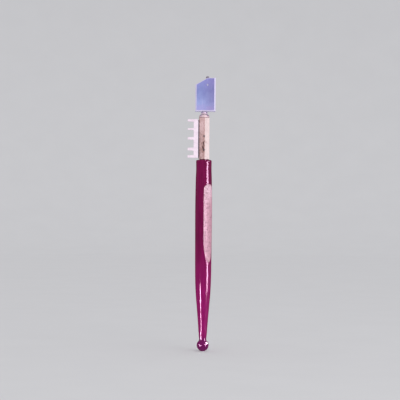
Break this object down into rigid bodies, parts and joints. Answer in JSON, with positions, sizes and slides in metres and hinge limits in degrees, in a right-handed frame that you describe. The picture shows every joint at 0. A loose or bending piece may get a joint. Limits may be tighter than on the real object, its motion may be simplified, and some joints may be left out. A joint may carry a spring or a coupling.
{
  "type": "glass cutter",
  "caption": "Diamond glass cutter: steel head block on a limited swivel, hexagonal brass ferrule with a side breaker comb, and a slim lacquered wooden handle with finger flats and a ball end.",
  "frame": {"origin": "middle of the small flat foot on the ball end, on the tool's axis", "axes": "+Z along the tool's axis from the ball end to the cutting head, -Y is the front broad face of the head, +X is the side away from the breaker comb"},
  "size_m": [0.0178, 0.0108, 0.1773],
  "materials": {
    "lacquered_wood": "deep wine-red gloss lacquer over pale hardwood, bare wood on the planed finger flats",
    "brass": "drawn brass, lightly tarnished, with dark scuffs on the front corner",
    "nose_brass": "turned brass",
    "plated_steel": "bright plating on stamped edges",
    "solder": "dull grey soft solder",
    "pin_steel": "darkened steel wire",
    "stem_steel": "turned steel",
    "washer_steel": "bright turned rim",
    "satin_steel": "satin ground faces with bright chamfers",
    "diamond": "clear, faceted",
    "braze": "dull braze"
  },
  "bodies": {
    "handle_body": {"handle": "lacquered_wood", "ferrule": "brass", "ferrule_brad_front": "pin_steel", "ferrule_brad_back": "pin_steel", "stem_bush": "nose_brass", "swivel_stop_pin": "pin_steel", "breaker_comb": "plated_steel", "solder_seam": "solder"},
    "swivel_head": {"swivel_stem": "stem_steel", "thrust_washer": "washer_steel", "head_block": "satin_steel", "diamond_holder": "pin_steel", "holder_pin": "pin_steel", "diamond_tip": "diamond", "braze_ring": "braze"}
  },
  "joints": [
    {"name": "head_swivel", "type": "hinge", "parent": "handle_body", "child": "swivel_head", "pos_m": [0, 0, 0.1526], "axis": [0, 0, 1], "range_deg": [-12, 12]}
  ]
}
